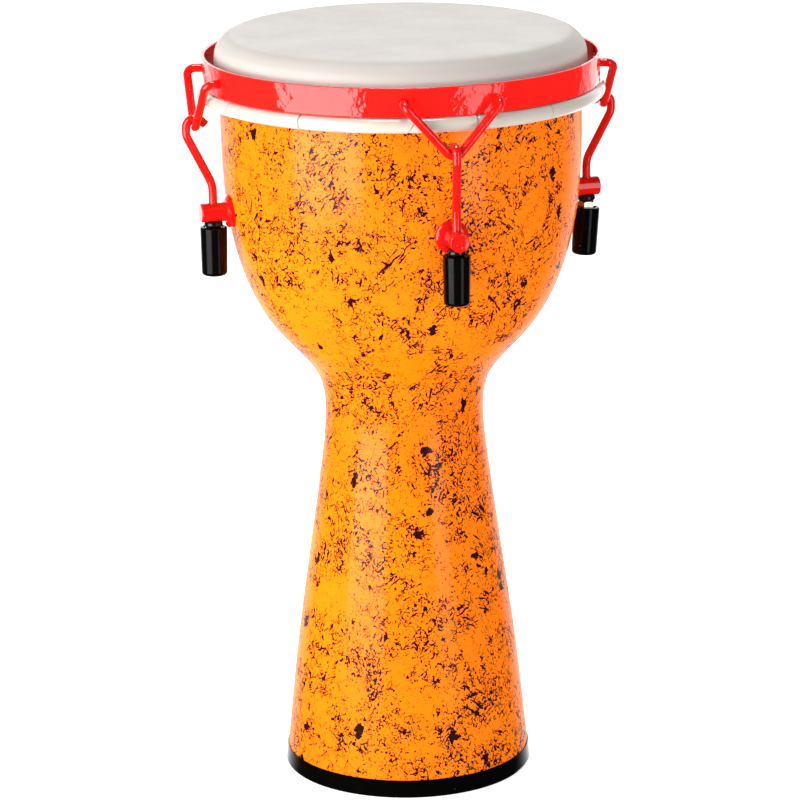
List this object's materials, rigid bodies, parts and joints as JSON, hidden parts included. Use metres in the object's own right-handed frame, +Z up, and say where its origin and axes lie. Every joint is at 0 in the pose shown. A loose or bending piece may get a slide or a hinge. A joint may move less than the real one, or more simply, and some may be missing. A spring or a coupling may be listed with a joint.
{
  "type": "djembe",
  "caption": "Goblet-shaped hand drum with a moulded shell, tuned by hooked rods and nuts that draw a steel hoop and yokes down over a synthetic head.",
  "frame": {"origin": "centre of the foot rim's underside, on the floor", "axes": "+Z up along the drum's axis to the head; -Y towards lug 1, +X towards lug 2, whose sleeve has slipped"},
  "size_m": [0.3026, 0.3026, 0.5196],
  "materials": {
    "shell_finish": "orange moulded shell with a dark spattered pattern under satin lacquer",
    "head_film": "coated, lightly mottled film",
    "ring_wrap": "smooth white wrap",
    "red_enamel": "glossy red powder coat",
    "zinc_steel": "zinc plate",
    "nut_chrome": "bright plate",
    "black_nylon": "polished black",
    "sleeve_rubber": "smooth satin rubber",
    "rim_rubber": "smooth satin rubber"
  },
  "bodies": {
    "shell": {"shell": "shell_finish", "foot_rim": "rim_rubber", "drumhead_film": "head_film", "lug_post_1": "red_enamel", "lug_flange_1": "red_enamel", "lug_bolt_1": "zinc_steel", "backing_washer_1": "zinc_steel", "nut_washer_1": "black_nylon", "lug_post_2": "red_enamel", "lug_flange_2": "red_enamel", "lug_bolt_2": "zinc_steel", "backing_washer_2": "zinc_steel", "nut_washer_2": "black_nylon", "lug_post_3": "red_enamel", "lug_flange_3": "red_enamel", "lug_bolt_3": "zinc_steel", "backing_washer_3": "zinc_steel", "nut_washer_3": "black_nylon", "lug_post_4": "red_enamel", "lug_flange_4": "red_enamel", "lug_bolt_4": "zinc_steel", "backing_washer_4": "zinc_steel", "nut_washer_4": "black_nylon"},
    "hoop": {"counterhoop": "red_enamel", "flesh_ring_core": "zinc_steel", "flesh_ring_wrap": "ring_wrap", "drumhead_collar": "head_film", "tension_yoke_1": "red_enamel", "tension_rod_1": "red_enamel", "tension_yoke_2": "red_enamel", "tension_rod_2": "red_enamel", "tension_yoke_3": "red_enamel", "tension_rod_3": "red_enamel", "tension_yoke_4": "red_enamel", "tension_rod_4": "red_enamel"},
    "nut_1": {"tuning_nut_1": "nut_chrome"},
    "sleeve_1": {"nut_sleeve_1": "sleeve_rubber"},
    "nut_2": {"tuning_nut_2": "nut_chrome"},
    "sleeve_2": {"nut_sleeve_2": "sleeve_rubber"},
    "nut_3": {"tuning_nut_3": "nut_chrome"},
    "sleeve_3": {"nut_sleeve_3": "sleeve_rubber"},
    "nut_4": {"tuning_nut_4": "nut_chrome"},
    "sleeve_4": {"nut_sleeve_4": "sleeve_rubber"}
  },
  "joints": [
    {"name": "nut_1_turn", "type": "hinge", "parent": "shell", "child": "nut_1", "pos_m": [0, -0.132, 0.386], "axis": [0, 0, 1], "range_deg": [-720, 1080]},
    {"name": "nut_2_turn", "type": "hinge", "parent": "shell", "child": "nut_2", "pos_m": [0.132, 0, 0.386], "axis": [0, 0, 1], "range_deg": [-720, 1080]},
    {"name": "nut_3_turn", "type": "hinge", "parent": "shell", "child": "nut_3", "pos_m": [0, 0.132, 0.386], "axis": [0, 0, 1], "range_deg": [-720, 1080]},
    {"name": "nut_4_turn", "type": "hinge", "parent": "shell", "child": "nut_4", "pos_m": [-0.132, 0, 0.386], "axis": [0, 0, 1], "range_deg": [-720, 1080]},
    {"name": "hoop_draw", "type": "slide", "parent": "shell", "child": "hoop", "axis": [0, 0, -1], "range_m": [-0.002, 0.003], "deforming": ["drumhead_collar"]},
    {"name": "sleeve_1_pull", "type": "slide", "parent": "nut_1", "child": "sleeve_1", "axis": [0, 0, -1], "range_m": [0, 0.028]},
    {"name": "sleeve_2_pull", "type": "slide", "parent": "nut_2", "child": "sleeve_2", "axis": [-0.061, 0, -0.9981], "range_m": [-0.0036, 0.0235]},
    {"name": "sleeve_3_pull", "type": "slide", "parent": "nut_3", "child": "sleeve_3", "axis": [0, 0, -1], "range_m": [0, 0.028]},
    {"name": "sleeve_4_pull", "type": "slide", "parent": "nut_4", "child": "sleeve_4", "axis": [0, 0, -1], "range_m": [0, 0.028]}
  ],
  "couplings": [
    {"joint": "nut_1_turn", "follows": "hoop_draw", "rad_per_m": 6283.1},
    {"joint": "nut_2_turn", "follows": "hoop_draw", "rad_per_m": 6283.1},
    {"joint": "nut_3_turn", "follows": "hoop_draw", "rad_per_m": 6283.1},
    {"joint": "nut_4_turn", "follows": "hoop_draw", "rad_per_m": 6283.1}
  ]
}
